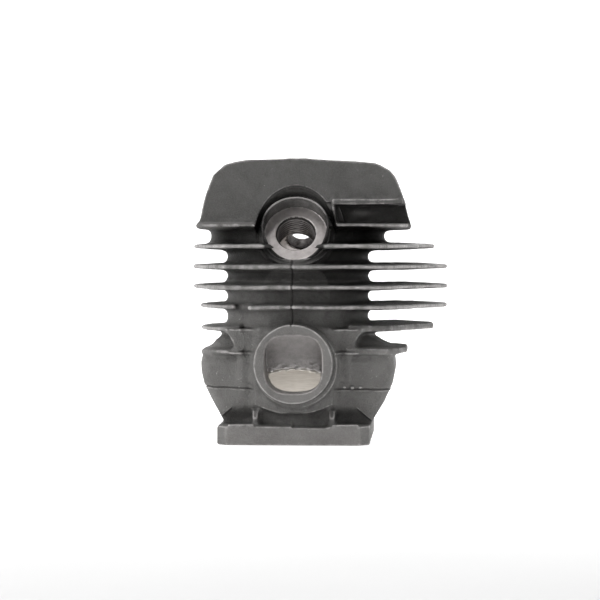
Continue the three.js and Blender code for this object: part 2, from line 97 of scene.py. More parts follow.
FIN_Z = {"a": 76, "b": 68.8, "c": 61.6, "d": 54.5, "e": 47.6, "f": 39.8, "g": 31.9}

# outlines of the level fins, in X and Y; those on the +X side of b, c and d end in two lobes
FIN_OUTLINE = {
    "a": [(-32, -24.4), (37.5, -24.4), (39.7, -22), (39.7, 22), (36, 29), (28, 32.5), (-24, 32.5),
          (-32, 29), (-36.6, 20), (-34.5, -21.5)],
    "b": [(-24, -33.5), (28, -33.5), (33, -29), (37, -23), (40, -12), (42.8, -6), (43.5, -3.5),
          (42.2, -1.5), (43.8, 1.2), (49, 10), (49, 18), (44.4, 29), (36, 36.5), (-20, 36.5), (-30, 29),
          (-36, 18), (-38.1, 6), (-36, -6), (-31, -20), (-28, -27)],
    "c": [(-24, -33.5), (28, -33.5), (33, -29), (37, -23), (40, -12), (45.1, -4.5), (46, -2),
          (44.6, 0.3), (46.8, 3.2), (53.6, 12), (53.6, 20), (46, 31), (36, 37), (-20, 37), (-30, 30),
          (-36, 18), (-38.4, 6), (-36, -6), (-31, -20), (-28, -27)],
    "d": [(-24, -33.5), (28, -33.5), (33, -29), (37, -23), (40, -12), (44.4, -4.7), (45.3, -2.2),
          (44, 0), (46.4, 2.8), (53.7, 12), (53.7, 20), (46, 31), (36, 37.5), (-20, 37.5), (-30, 30),
          (-36, 18), (-38.2, 6), (-36, -6), (-31, -20), (-28, -27)],
    "e": [(-15.3, -33.5), (26, -33.5), (31, -30.5), (36, -27.6), (39.5, -22), (43, -10), (47, 0),
          (53.5, 12), (53.5, 20), (46, 31), (36, 37.5), (-20, 37.5), (-30, 29), (-34, 16), (-35.3, 3),
          (-33, -6), (-29, -14), (-25, -19), (-21, -22.6), (-20, -18), (-15.3, -21.5)],
    "f": [(26, -24), (34, -22.5), (38, -16), (42, -4), (48.5, 6), (48.5, 22), (42, 30), (33, 34),
          (-24, 33), (-31, 25), (-34.7, 12), (-34.7, -1), (-32, -13), (-27, -20), (-22, -25),
          (-10, -28), (10, -28)],
    "g": [(24, -26.4), (32, -25.6), (37, -20), (39.3, -10), (39.3, 14), (36, 24), (28, 28), (-26, 28),
          (-31.5, 25.5), (-33.4, 20), (-33.3, -14), (-30, -23.5), (-24, -26.4), (-10, -26.4),
          (10, -26.4)],
}
# the upright head fins, in X and Z
HEAD_PLATE = [
    (-33.6, 70), (40.5, 70), (40.5, 75), (39.9, 77.9), (39.1, 81.4), (38.3, 84.9), (37.2, 88.4),
    (35.8, 91.9), (34.8, 93.6), (33.2, 95.4), (30.3, 97.1), (28.2, 97.8), (24.7, 98.3), (17.7, 98.7),
    (10.7, 99.1), (3.7, 99.6), (-1, 99.6), (-6.8, 99.35), (-13.8, 99.1), (-17.3, 99), (-20.8, 98.5),
    (-24.3, 97.5), (-26.9, 95.4), (-28.6, 93.6), (-29.8, 90.8), (-31, 87.5), (-32.2, 83.2),
    (-32.9, 79.7), (-33.6, 75),
]
# the head's section, in radius and Z
HEAD_PROFILE = [(-BARREL_R, 57), (BARREL_R, 57), (BARREL_R, 77.6), (24.4, 79.4), (22, 81.2), (15, 83.4),
                (0, 84.4), (-15, 83.4), (-22, 81.2), (-24.4, 79.4), (-BARREL_R, 77.6)]
# the transfer housings and the passages in them, in distance from the middle and Z, for each side
HOUSING_LOW = {
    -1: [(10, 3), (24.6, 3), (24.6, 6.6), (24.9, 7.6), (28.7, 14.6), (31.9, 21), (32.8, 25.2), (32.9, 28.6),
         (32.2, 31.2), (10, 31.2)],
    1: [(10, 3), (26.7, 3), (26.7, 6.6), (27.2, 7.6), (31.5, 14.6), (34.4, 21), (35.3, 25.8), (34.9, 29.4),
        (34, 31.2), (10, 31.2)],
}
HOUSING_HIGH = {
    -1: [(10, 24), (31.4, 24), (31.2, 30), (30.2, 34), (28.3, 36.4), (25.5, 37.8), (21.5, 38.3), (10, 38.3)],
    1: [(10, 24), (33, 24), (32.8, 30), (31.6, 34), (29, 36.2), (26, 37.6), (22, 38.3), (10, 38.3)],
}
TRANSFER_PATH = {
    -1: [(18, 8), (LINING_R, 8), (25.2, 10.6), (27.2, 14), (30.6, 25), (30, 28.5), (28, 31.5), (18, 29.5),
         (18, 21), (25.2, 21), (25.2, 14), (18, 14)],
    1: [(18, -2), (25.3, -2), (25.3, 8), (27.8, 14), (32.4, 25), (31.6, 28.5), (29, 31.5), (18, 29.5),
        (18, 21), (25.2, 21), (25.2, 14), (18, 14)],
}
# the block on each side of the intake, over the seventh fin
INTAKE_BLOCK = [(9, 22), (19.6, 22), (19.6, 31.9), (23.6, 39.7), (9, 39.7)]
BLOCK_FRONT_Y = -25.2
PARTING_Z = 19  # the die's parting line round the housings
DIE_SEAM_X = -0.5  # the two halves of the die met here, down the front

# ---------- distance fields ----------
# Each takes x, y and z arrays that broadcast together, and gives millimetres to the surface, negative inside.


def union(a, b, k):
    """Two fields joined with a cast fillet about k wide."""
    h = np.clip(0.5 + 0.5 * (b - a) / k, 0, 1)
    return b + (a - b) * h - k * h * (1 - h)


def cut(a, b, k):
    """a without b, the edge eased over k."""
    return -union(-a, b, k)


def polygon(u, v, points):
    """Distance to a closed outline."""
    p = np.array(points, dtype=np.float32)
    dist = inside = None
    for (ax, ay), (bx, by) in zip(p, np.roll(p, -1, axis=0)):
        ex, ey = bx - ax, by - ay
        wx, wy = u - ax, v - ay
        t = np.clip((wx * ex + wy * ey) / (ex * ex + ey * ey), 0, 1)
        d = (wx - ex * t) ** 2 + (wy - ey * t) ** 2
        dist = d if dist is None else np.minimum(dist, d)
        above, below = v >= ay, v < by
        side = ex * wy - ey * wx
        crossing = (above & below & (side > 0)) | (~above & ~below & (side < 0))
        inside = crossing if inside is None else inside ^ crossing
    return np.where(inside, -1, 1) * np.sqrt(dist)


def rounded(flat, depth, r):
    """Two crossing fields intersected, with an edge of radius r."""
    a, b = flat + r, depth + r
    return np.minimum(np.maximum(a, b), 0) + np.hypot(np.maximum(a, 0), np.maximum(b, 0)) - r


def slab(flat, w, w0, w1, r=0.0):
    """An outline's field drawn out between w0 and w1."""
    depth = np.abs(w - (w0 + w1) / 2) - (w1 - w0) / 2
    return rounded(flat, depth, r) if r else np.maximum(flat, depth)


def brick(x, y, z, low, high, r):
    half = [(h - l) / 2 - r for l, h in zip(low, high)]
    mid = [(h + l) / 2 for l, h in zip(low, high)]
    q = [np.abs(w - m) - s for w, m, s in zip((x, y, z), mid, half)]
    outer = np.sqrt(sum(np.maximum(w, 0) ** 2 for w in q))
    return outer + np.minimum(np.maximum(np.maximum(q[0], q[1]), q[2]), 0) - r


def ripple(x, y, z, size, seed):
    """The gentle unevenness of a casting, mostly between -1 and 1."""
    rng = np.random.RandomState(seed)
    total = 0
    for _ in range(6):
        k = 2 * math.pi / size * rng.uniform(0.6, 1.5, 3)
        p = rng.uniform(0, 6.28, 3)
        total = total + np.sin(k[0] * x + p[0]) * np.sin(k[1] * y + p[1]) * np.sin(k[2] * z + p[2])
    return total / 2.2


def wavy(u, v, size, seed):
    """Unevenness of a flat outline."""
    return ripple(u, v, 1.0, size, seed)


def hump(w, middle, width):
    return np.exp(-((w - middle) / width) ** 2)


def ramp(w, low, high):
    return np.clip((w - low) / (high - low), 0, 1)


def boss_frame(boss, x, y, z):
    """How far along a tilted boss's axis, outward from its seat, the radius from the axis, and the angle."""
    c, s, side = math.cos(boss["tilt"]), math.sin(boss["tilt"]), boss["side"]
    dy, dz, dx = y - boss["y"], z - boss["z"], x - boss["x"]
    up = -side * s * dy + c * dz
    return side * c * dy + s * dz, np.hypot(dx, up), np.arctan2(up, dx)


def fin_field(key, x, y, z):
    """A level fin: drafted towards its edge, with a parting ridge round it."""
    seed = ord(key)
    flat = polygon(x, y, FIN_OUTLINE[key]) + 0.12
    if FIN_Z[key] > 35:
        for sx in (-1, 1):
            for sy in (-1, 1):
                flat = np.maximum(flat, DRIVER_R - np.hypot(x - sx * SCREW_X, y - sy * SCREW_Y))
    draft = np.clip(-flat / 13, 0, 1)
    nick = np.maximum(wavy(x, y, 2.3, 200 + seed) - 0.75, 0)
    flat = flat + 0.14 * wavy(x, y, 9, 3 + seed) + 0.06 * wavy(x, y, 3.1, 40 + seed) + 0.5 * nick
    thick = THICKER.get(key, 0) * np.clip(x / 20, 0, 1)
    level = z - FIN_Z[key] - 0.1 * wavy(x, y, 34, 60 + seed) - thick
    half = 0.68 + 0.7 * draft + 0.035 * wavy(x, y, 7, 80 + seed) + thick
    ridge = 0.16 * np.exp(-(level / 0.3) ** 2)
    body = np.maximum(rounded(flat - ridge, np.abs(level) - half, 0.45), 23.6 - np.hypot(x, y))
    if 15 < FIN_Z[key] < 45:
        body = np.maximum(body, -np.maximum(np.abs(x) - 26, 34.5 - y))
    if FIN_Z[key] < 48:
        body = cut(body, np.maximum(np.hypot(x, z - INTAKE_Z) - 19, y + 26.2), 0.6)
    return body


def wing_field(key, side, inner, x, y, z):
    """The part of a fin on one side, from inner outwards."""
    return np.maximum(fin_field(key, x, y, z), inner - side * x)


def barrel_field(x, y, z):
    return slab(np.hypot(x, y) - BARREL_R, z, 0, BARREL_TOP)


def head_field(x, y, z):
    body = polygon(np.hypot(x, y), z, HEAD_PROFILE)
    qx, qy = np.abs(x) - (SHOULDER_X - 7), np.abs(y - 5) - 10
    plan = np.hypot(np.maximum(qx, 0), np.maximum(qy, 0)) + np.minimum(np.maximum(qx, qy), 0) - 7
    return union(body, slab(plan, z, 69.2, 77.4), 3.0)


def flange_field(x, y, z):
    """The base flange; its front top edge has a lip, and is a little lower to the right of the die seam."""
    corner = (np.abs(x) + np.abs(y) - (FLANGE_X + FLANGE_Y - FLANGE_CORNER)) / math.sqrt(2)
    plan = np.maximum(np.maximum(np.abs(x) - FLANGE_X, np.abs(y) - FLANGE_Y), corner)
    low = 0.5 * ramp(x, DIE_SEAM_X - 0.2, DIE_SEAM_X + 0.2) * ramp(13 - x, 0, 2) * ramp(-y, 10, 12)
    plate = slab(plan, z + low, 0, FLANGE_TOP, 0.45)
    lips = [brick(side * x, y, z, (13.6, -32.9, 5), (22.6, -32, 7.3), 0.35) for side in (-1, 1)]
    return union(plate, np.minimum(*lips), 0.5)


def housing_field(side, x, y, z):
    """One transfer passage's bulge, the block beside the intake, and the recess over the front screw."""
    u = side * x
    low = slab(polygon(u, z, HOUSING_LOW[side]) + 0.1, y, -24.8, 21, 3.6)
    high = slab(polygon(u, z, HOUSING_HIGH[side]) + 0.4, y, -18.5, 18, 5)
    side_shade = slab(polygon(u, z, INTAKE_BLOCK), y, BLOCK_FRONT_Y, -8, 0.5)
    body = union(union(low, high, 1.6), side_shade, 1.0)
    fall = ramp(14.6 - z, 0, 6.5)
    slope = -25.3 + 3.6 * fall * fall * (3 - 2 * fall)
    brow = z - 13.9 + 0.875 * np.maximum(u - 20.3, 0)
    front = np.maximum(np.maximum(y - slope, brow), 12 - u)
    rear = np.maximum(np.hypot(u - SCREW_X, y - SCREW_Y) - 6.2, z - 12.6)
    return cut(cut(body, front, 0.35), rear, 1.0)


def spigot_field(x, y, z):
    """Intake pipe stub, the wider, slightly lower collar behind it, and the saddle beneath."""
    r = np.hypot(x - 0.3, z - INTAKE_Z - 0.2)
    pipe = slab(r - 13.6, y, INTAKE_FACE_Y, -18, 0.3)
    collar = slab(np.hypot(x - 0.8, z - 27.2) - 14.5, y, -29.6, -18, 0.7)
    saddle = brick(x, y, z, (-13.2, -28.6, 10.6), (13.2, -18, 24), 1.0)
    saddle = np.maximum(saddle, np.maximum(10.3 + 0.02 * x * x - z, 0.014 * x * x - 28.6 - y))
    behind = brick(x, y, z, (-12.5, BLOCK_FRONT_Y, 22), (12.5, -17, 39.7), 0.5)
    return union(union(pipe, collar, 0.5), np.minimum(saddle, behind), 1.6)


def exhaust_field(x, y, z):
    plan = np.hypot(np.maximum(np.abs(x) - 19, 0), np.maximum(np.abs(z - EXHAUST_Z) - 5.5, 0)) - 6
    duct = brick(x, y, z, (-15.5, 12, 23.5), (15.5, 38, 41.5), 3)
    return union(slab(plan, y, 35.5, EXHAUST_FACE_Y, 0.5), duct, 2)


def plate_field(k, x, y, z):
    """An upright fin on top, thinner towards its rim."""
    drop = 0.6 + 0.25 * k if k else 0
    outline = [(px, pz - drop if pz > 91 else pz) for px, pz in HEAD_PLATE]
    flat = polygon(x, z, outline) + 0.12 + 0.08 * wavy(x, z, 8, 100 + k) + 0.04 * wavy(x, z, 2.7, 120 + k)
    mid = PLATE_FRONT_Y + k * PLATE_PITCH + PLATE_THICK / 2
    half = PLATE_THICK / 2 + 0.1 - 0.35 * np.clip((z - 80) / 19, 0, 1)
    body = rounded(flat, np.abs(y - mid - 0.05 * wavy(x, z, 17, 140 + k)) - half, 0.45)
    body = np.maximum(body, 75.5 - z)
    if k == 0:
        body = cut(body, brick(x, y, z, (14.4, -40, 70), (60, -19, 83.2), 0.1), 0.8)
    return body


def ledge_field(x, y, z):
    """The shelf over the side air channel, its post, and the wall behind the channel."""
    out = -25.1 + 2.6 * ramp(x, 30, 37.4)
    shelf = np.maximum(brick(x, y, z, (13.2, -25.1, 83.3), (37.4, -21, 85.2), 0.6), out - y)
    post = brick(x, y, z, (13.2, -24.2, 77), (14.4, -21, 84.8), 0.3)
    back = -19.4 - 2.4 * hump(x, 23.5, 5) * hump(z, 80.4, 2.6)
    scoop = np.maximum(np.maximum(np.abs(z - 80.4) - 4.2, 13.4 - x), polygon(x, z, HEAD_PLATE) + 0.3)
    scoop = np.maximum(scoop, np.maximum(back - y, y + 17.5)) * 0.8
    return union(union(shelf, post, 0.8), scoop, 0.4)


def rib_field(side, x, y, z):
    web = brick(side * x, y, z, (12.4, -28.4, 5), (14.2, -18, 13.6), 0.85)
    return np.maximum(web, z - 11.4 + 0.9 * np.maximum(-26 - y, 0))


def plug_boss_field(x, y, z):
    """The plug socket, a thin tube cut open at the bottom, with a hood of metal behind its top."""
    s, rad, _ = boss_frame(PLUG, x, y, z)
    socket = np.maximum(slab(rad - TUBE_R, s, PLUG["thread_from"], COLLAR, 0.15), -(y + 27.9))
    root = slab(rad - COLLAR_R, s, PLUG["thread_from"], -0.6, 0.3)
    hood = np.maximum(slab(rad - 17.2, s, -9, 9.5, 0.5), np.maximum(-21.4 - y, y + 16.5))
    hood = np.maximum(hood, FIN_Z["a"] - z)
    return np.minimum(np.minimum(socket, root), np.maximum(hood, POCKET_R - rad))


def decomp_boss_field(x, y, z):
    s, rad, _ = boss_frame(DECOMP, x, y, z)
    return slab(rad - VALVE_R, s, -6, VALVE_LENGTH, 0.5)


def pockets(x, y, z):
    """The round rooms that the plug socket and the valve need in fins and plates."""
    s, rad, _ = boss_frame(PLUG, x, y, z)
    plug_room = np.maximum(rad - 12.1 - (POCKET_R - 12.1) * ramp(z, 71.5, 73.5), -(s + 1.2))
    notch = np.maximum(np.maximum(np.abs(x - 10.9) - 2, np.abs(z - 80.8) - 3.3), y + 20)
    plug_room = np.minimum(plug_room, notch)
    s, rad, _ = boss_frame(DECOMP, x, y, z)
    return np.minimum(plug_room, np.maximum(rad - VALVE_R - 0.3, 5.5 - s))


def chamber(x, y, z):
    """The bore for the lining, and the dome over it."""
    dome = np.sqrt(x * x + y * y + (z - DOME_Z) ** 2) - DOME_R
    return np.minimum(np.maximum(dome, 56.9 - z), slab(np.hypot(x, y) - LINING_R, z, -5, 57))


def intake_duct(x, y, z):
    across, up = np.abs(x - 0.3) / 9.9, np.abs(z - INTAKE_Z - 0.05) / 9.95
    power = 3.4 - 0.6 * ramp(INTAKE_Z - z, 0, 3)
    section = 9.8 * ((across ** power + up ** power) ** (1 / power) - 1)
    rough = (0.1 * ripple(x, y, z, 4, 7) + 0.07 * ripple(x, y, z, 1.8, 8)) * (0.4 + 2 * ramp(29 - z, 0, 2.5))
    roof = (z - 26) * 0.74 + (y + 23) * 0.675 + rough
    return np.maximum(np.maximum(section, roof), y + 15)


def ports(x, y, z):
    """Every passage that breaks through the cylinder wall."""
    corner = np.hypot(np.maximum(np.abs(x) - 8.5, 0), np.maximum(np.abs(z - EXHAUST_Z) - 2, 0)) - 3.5
    exhaust = np.maximum(corner, 15 - y)
    transfer = [slab(polygon(side * x, z, TRANSFER_PATH[side]), y, -10, 10) for side in (-1, 1)]
    return np.minimum(exhaust, np.minimum(*transfer))


def threaded(boss, x, y, z):
    """A boss's threaded hole: its wall moves out and back once each turn, and opens out at the mouth."""
    s, rad, angle = boss_frame(boss, x, y, z)
    tooth = np.abs((s / boss["pitch"] - angle / (2 * math.pi)) % 1 - 0.5) * 2
    lead_in = np.clip((boss["thread_to"] - s) / 0.9, 0, 1)
    wall = boss["minor"] + boss["depth"] * (tooth * lead_in + 1 - lead_in)
    return np.maximum((rad - wall) * 0.8, boss["thread_from"] - s)


def die_marks(x, y, z):
    """What the die left: its parting lines, a step down the front, and flash."""
    front = ramp(-y, 6, 10)
    seam = ramp(-y, 17, 19) * ramp(z, 40, 42) * ramp(67.5 - z, 0, 1)
    marks = seam * (0.42 * hump(x, DIE_SEAM_X, 0.22) - 0.14 * ramp(DIE_SEAM_X - x, -0.15, 0.15))
    line = PARTING_Z + 0.9 * ramp(-x, 14, 33) + 0.12 * wavy(x, y, 9, 5) - 0.1 * ramp(x, 10, 30)
    sides = ramp(np.abs(x), 13.6, 15.5)
    marks = marks + sides * (0.5 * hump(z, line + 0.1, 0.2) - 0.3 * hump(z, line - 0.28, 0.22))
    burr = np.maximum(wavy(x, y, 3.4, 9) - 0.15, 0) * hump(x, 21.5, 4.5) * front
    marks = marks - 1.5 * burr * hump(z, line + 0.55, 0.4)
    across = ramp(np.abs(x), 13.6, 15.6) * ramp(23 - np.abs(x), 0, 1) * front
    for level in (FIN_Z["g"] - 0.2, FIN_Z["f"]):
        edge = level + 0.12 * wavy(x, y, 7, 6)
        marks = marks + across * (0.34 * hump(z, edge + 0.42, 0.25) - 0.4 * hump(z, edge - 0.1, 0.25))
    bands = 0.22 * hump(x, -18, 1.3) + 0.16 * hump(x, -14.6, 0.8) + 0.12 * hump(x, 17.2, 1.4)
    marks = marks - bands * front * ramp(z, 8, 11) * ramp(30.5 - z, 0, 2)
    return marks


def machined(total, x, y, z):
    """The casting with its holes and faces cut."""
    total = total + die_marks(x, y, z)
    uneven = 0.07 * ripple(x, y, z, 13, 1) + 0.03 * ripple(x, y, z, 4.3, 2)
    flats = np.clip((z - 0.3) / 2, 0, 1) * np.clip((y - INTAKE_FACE_Y - 0.4) / 2, 0, 1)
    total = total + uneven * flats
    for w, low, high in zip((x, y, z), *cad_box):  # nothing reaches past the frame
        total = np.maximum(total, np.maximum(1000 * low - w, w - 1000 * high))
    screws = np.hypot(np.abs(x) - SCREW_X, np.abs(y) - SCREW_Y) - SCREW_R
    total = np.maximum(total, -np.maximum(screws, z - FLANGE_TOP - 2))
    total = cut(total, intake_duct(x, y, z), 0.3)
    total = np.maximum(total, -ports(x, y, z))
    total = np.maximum(total, -slab(np.hypot(np.abs(x) - STUD_X, z - EXHAUST_Z) - STUD_R, y, 30, 50))
    total = np.maximum(total, -chamber(x, y, z))
    s, rad, _ = boss_frame(PLUG, x, y, z)
    total = np.maximum(total, -np.maximum(rad - SEAT_R, -s))
    total = np.maximum(total, -threaded(PLUG, x, y, z))
    s, rad, _ = boss_frame(DECOMP, x, y, z)
    total = np.maximum(total, -np.maximum(rad - VALVE_SEAT_R, DECOMP["thread_to"] - s))
    return np.maximum(total, -threaded(DECOMP, x, y, z))


# every node's own field, and how wide the fillet is where it joins those before it
PARTS = {
    "cylinder_barrel": (barrel_field, 0.5),
    "combustion_head": (head_field, 1),
    "transfer_housing_left": (lambda x, y, z: housing_field(-1, x, y, z), 5),
    "transfer_housing_right": (lambda x, y, z: housing_field(1, x, y, z), 5),
    "base_flange": (flange_field, 1.6),
    "intake_spigot": (spigot_field, 2.6),
    "exhaust_flange": (exhaust_field, 3),
    "flange_rib_left": (lambda x, y, z: rib_field(-1, x, y, z), 1.6),
    "flange_rib_right": (lambda x, y, z: rib_field(1, x, y, z), 1.6),
}
for key, number in zip("bcde", (2, 3, 4, 5)):
    PARTS[f"cooling_fin_{number}"] = (lambda x, y, z, key=key: fin_field(key, x, y, z), 2.6)
for key, number, inner in (("a", 1, 0.5), ("f", 6, 19.3), ("g", 7, 18.5)):
    for side, word in ((-1, "left"), (1, "right")):
        PARTS[f"cooling_fin_{number}_{word}"] = (
            lambda x, y, z, key=key, side=side, inner=inner: wing_field(key, side, inner, x, y, z), 2.6)
for k in range(PLATE_COUNT):
    PARTS[f"head_fin_{k + 1}"] = (lambda x, y, z, k=k: plate_field(k, x, y, z), 2.2)
PARTS["head_side_ledge"] = (ledge_field, 1.6)
BOSSES = {"spark_plug_boss": (plug_boss_field, 0.5), "decompression_valve_boss": (decomp_boss_field, 1.6)}
ALONG_SEAMS = ("cylinder_barrel", "transfer_housing_left", "transfer_housing_right", "intake_spigot")
REACH = 4.0  # a node further from a grid than this isn't worked out there


def in_reach(node, low, high):
    a, b = box_mm(node)
    return all(a[i] - REACH < high[i] and b[i] + REACH > low[i] for i in range(3))


def casting(x, y, z, low, high, owner):
    """The whole casting's field over a grid, and how far each point is out of the owner's share of it."""
    shape = np.broadcast(x, y, z).shape
    rooms = pockets(x, y, z)
    total = mine = others = None
    for node, (field, fillet) in {**PARTS, **BOSSES}.items():
        if not in_reach(node, low, high):
            continue
        d = np.broadcast_to(field(x, y, z), shape).astype(np.float32)
        if node not in BOSSES:
            clear = np.maximum(d, -rooms)
            total = clear if total is None else np.maximum(union(total, d, fillet), -rooms)
            d = clear
        else:
            total = d if total is None else union(total, d, fillet)
        if node == owner:
            mine = d
        else:
            others = d if others is None else np.minimum(others, d)
    return np.array(machined(total, x, y, z), dtype=np.float32), (mine - others) / 2


def lining(x, y, z, low, high, owner):
    """The plated bore wall, with its ports."""
    r = np.hypot(x, y)
    wall = slab(np.maximum(r - LINING_R + 0.02, BORE_R - r), z, box_mm(owner)[0][2], BORE_TOP, 0)
    wall = np.maximum(np.maximum(wall, -intake_duct(x, y, z)), -ports(x, y, z))
    s, rad, _ = boss_frame(PLUG, x, y, z)
    wall = np.maximum(wall, -np.maximum(rad - 6.9, -(s + 20)))
    return np.array(wall + 0 * (x + y + z), dtype=np.float32), None


# ---------- meshing ----------


def sample(grid, pos):
    """A grid's value and its slope in cells, at positions given in cells."""
    base = np.clip(np.floor(pos).astype(np.int64), 0, np.array(grid.shape) - 2)
    fx, fy, fz = (pos - base).astype(np.float32).T
    i, j, k = base.T
    c = [[[grid[i + a, j + b, k + e] for e in (0, 1)] for b in (0, 1)] for a in (0, 1)]

    def mix(p, q, t):
        return p + (q - p) * t

    x00, x01 = mix(c[0][0][0], c[1][0][0], fx), mix(c[0][0][1], c[1][0][1], fx)
    x10, x11 = mix(c[0][1][0], c[1][1][0], fx), mix(c[0][1][1], c[1][1][1], fx)
    value = mix(mix(x00, x10, fy), mix(x01, x11, fy), fz)
    gx = mix(mix(c[1][0][0] - c[0][0][0], c[1][1][0] - c[0][1][0], fy),
             mix(c[1][0][1] - c[0][0][1], c[1][1][1] - c[0][1][1], fy), fz)
    gy = mix(x10 - x00, x11 - x01, fz)
    gz = mix(x01, x11, fy) - mix(x00, x10, fy)
    return value, np.stack([gx, gy, gz], axis=1)


def skin(field, axes):
    """The closed quad mesh of where the field is nought, with one point in each cell that it crosses."""
    inside = field < 0
    n = np.array(field.shape) - 1
    count = np.zeros(tuple(n), dtype=np.int8)
    total = [np.zeros(tuple(n), dtype=np.float32) for _ in range(3)]
    for axis in range(3):
        others = [a for a in range(3) if a != axis]
        lo, hi = [slice(None)] * 3, [slice(None)] * 3
        lo[axis], hi[axis] = slice(0, -1), slice(1, None)
        a, b = field[tuple(lo)], field[tuple(hi)]
        crossed = inside[tuple(lo)] != inside[tuple(hi)]
        t = np.where(crossed, a / np.where(crossed, a - b, 1), 0).astype(np.float32)
        for du in (0, 1):
            for dv in (0, 1):
                view = [slice(None)] * 3
                for other, d in zip(others, (du, dv)):
                    view[other] = slice(d, d + n[other])
                c = crossed[tuple(view)]
                count += c
                total[axis] += t[tuple(view)]
                if du:
                    total[others[0]] += c
                if dv:
                    total[others[1]] += c
    active = count > 0
    where = np.argwhere(active)
    number = np.full(tuple(n), -1, dtype=np.int64)
    number[active] = np.arange(len(where))
    step = np.stack([np.diff(axis)[where[:, i]] for i, axis in enumerate(axes)], axis=1)
    pos = where + np.stack([t[active] / count[active] for t in total], axis=1)
    for _ in range(2):  # each point is drawn on to the surface, and stays in its cell
        value, slope = sample(field, pos)
        g = slope / step
        pull = value[:, None] * g / np.maximum((g * g).sum(1, keepdims=True), 0.05)
        pos = where + np.clip(pos - pull / step - where, 0.02, 0.98)
    quads = []
    for axis in range(3):
        u, v = (axis + 1) % 3, (axis + 2) % 3
        lo, hi = [slice(1, -1)] * 3, [slice(1, -1)] * 3
        lo[axis], hi[axis] = slice(0, -1), slice(1, None)
        first = inside[tuple(lo)]
        crossed = first != inside[tuple(hi)]
        shift = np.ones(3, dtype=np.int64)
        shift[axis] = 0
        at = np.argwhere(crossed) + shift
        corners = []
        for du, dv in ((-1, -1), (0, -1), (0, 0), (-1, 0)):
            cell = at.copy()
            cell[:, u] += du
            cell[:, v] += dv
            corners.append(number[cell[:, 0], cell[:, 1], cell[:, 2]])
        quad = np.stack(corners, axis=1)
        flip = ~first[crossed]
        quad[flip] = quad[flip][:, ::-1]
        quads.append(quad)
    points = [np.interp(pos[:, i], np.arange(len(axis)), axis) for i, axis in enumerate(axes)]
    return np.stack(points, axis=1), np.concatenate(quads)


def value_at(field, axes, points):
    cells = [np.interp(points[:, i], axis, np.arange(len(axis))) for i, axis in enumerate(axes)]
    return sample(field, np.stack(cells, axis=1))[0]


def bend_of(field, axes, points, reach):
    """How sharply the surface bends within reach of each point: above nought on an edge, below in a root."""
    total = -6 * value_at(field, axes, points)
    for axis in np.eye(3) * reach:
        total = total + value_at(field, axes, points + axis) + value_at(field, axes, points - axis)
    return total / reach


def painted_shade_share(p):
    """Painted shade: how dark each point is painted where shade falls, deep between fins, in the pockets, in
    the recesses over the front screws, in the side air channel, and in thread grooves.
    """
    x, y, z = p.T
    # painted shade between the fins: darker deeper in, higher up and towards +X, but not on the bosses
    between_fins_shade = ramp(-polygon(x, y, FIN_OUTLINE["b"]), 3, 9) * (0.7 + 0.3 * ramp(x, -15, 15))
    share = between_fins_shade * ramp(z, 53 - 12 * ramp(x, -15, 15), 69) * (z < FIN_Z["a"] - 0.3)
    for boss in (PLUG, DECOMP):
        share = share * (boss_frame(boss, x, y, z)[1] > SEAT_R + 0.9)
    # painted shade in the recesses over the front screws: from their mouths inwards, and from under their
    # roofs down
    inwards = ramp(y, -25.7, -23) * (y < -15)
    downwards = ramp(14.5 - z, 0, 4) * (z > FLANGE_TOP + 0.2)
    share = np.maximum(share, 0.45 * inwards * downwards)
    # painted shade in the side air channel, painted lighter where its back wall bulges forward
    channel_shade = (x > 14) & (x < 41) & (y > -24.6) & (y < -16) & (z > 76.8) & (z < 83.6)
    share = np.maximum(share, channel_shade * (0.85 - 0.4 * hump(x, 23.5, 3.4) * hump(z, 80.6, 1.8)))
    # painted shade inside the threaded holes, darkest in the grooves between the crests
    for boss in (PLUG, DECOMP):
        s, rad, _ = boss_frame(boss, x, y, z)
        hole = (rad < boss["minor"] + 1) * (s < boss["thread_to"] - 0.15) * (s > -20)
        groove_shade = ramp(rad, boss["minor"] + 0.15, boss["minor"] + 0.4)
        share = np.maximum(share, hole * (0.1 + 0.9 * groove_shade))
    # painted shade on the plug pocket's wall and collar: light at the top, dark at the sides
    s, rad, angle = boss_frame(PLUG, x, y, z)
    side_shade = ramp(np.sin(angle), 0.75, 0.3)
    wall = (rad > SEAT_R - 0.3) & (rad < POCKET_R + 0.3) & (s > -1.4) & (y < -17)
    wall = wall & ((s > 0.3) | (rad > COLLAR_R - 0.3))
    return np.maximum(share, wall * (0.2 + 0.8 * side_shade))


def machined_and_lit_share(p):
    """How far a cutter made the surface, by where the point lies, with a little painted light on the flange's
    front face.
    """
    x, y, z = p.T
    s, rad, _ = boss_frame(PLUG, x, y, z)
    s2, rad2, _ = boss_frame(DECOMP, x, y, z)
    marks = [
        (z < 0.15, 1),
        (y < INTAKE_FACE_Y + 0.12, 0.06),
        (y > EXHAUST_FACE_Y - 0.12, 1),
        ((rad < SEAT_R - 0.05) & (s > -0.3) & (s < 0.25), 1),
        ((rad < 7.4) & (s < 0.3) & (s > -14), 0.8),
        # painted light: the flange's front face gets a little of the cut colour, to lighten it as if lit from
        # low in front
        ((y < -32.4) & (z < FLANGE_TOP), 0.12),
        ((rad2 < 7.8) & (s2 < 11.3) & (s2 > -8), 1),
        (chamber(x, y, z) < 0.25, 1),
        (intake_duct(x, y, z) < 0.4, 0.5),
    ]
    share = np.zeros(len(p), dtype=np.float32)
    for where, amount in marks:
        share = np.maximum(share, where * amount)
    return share


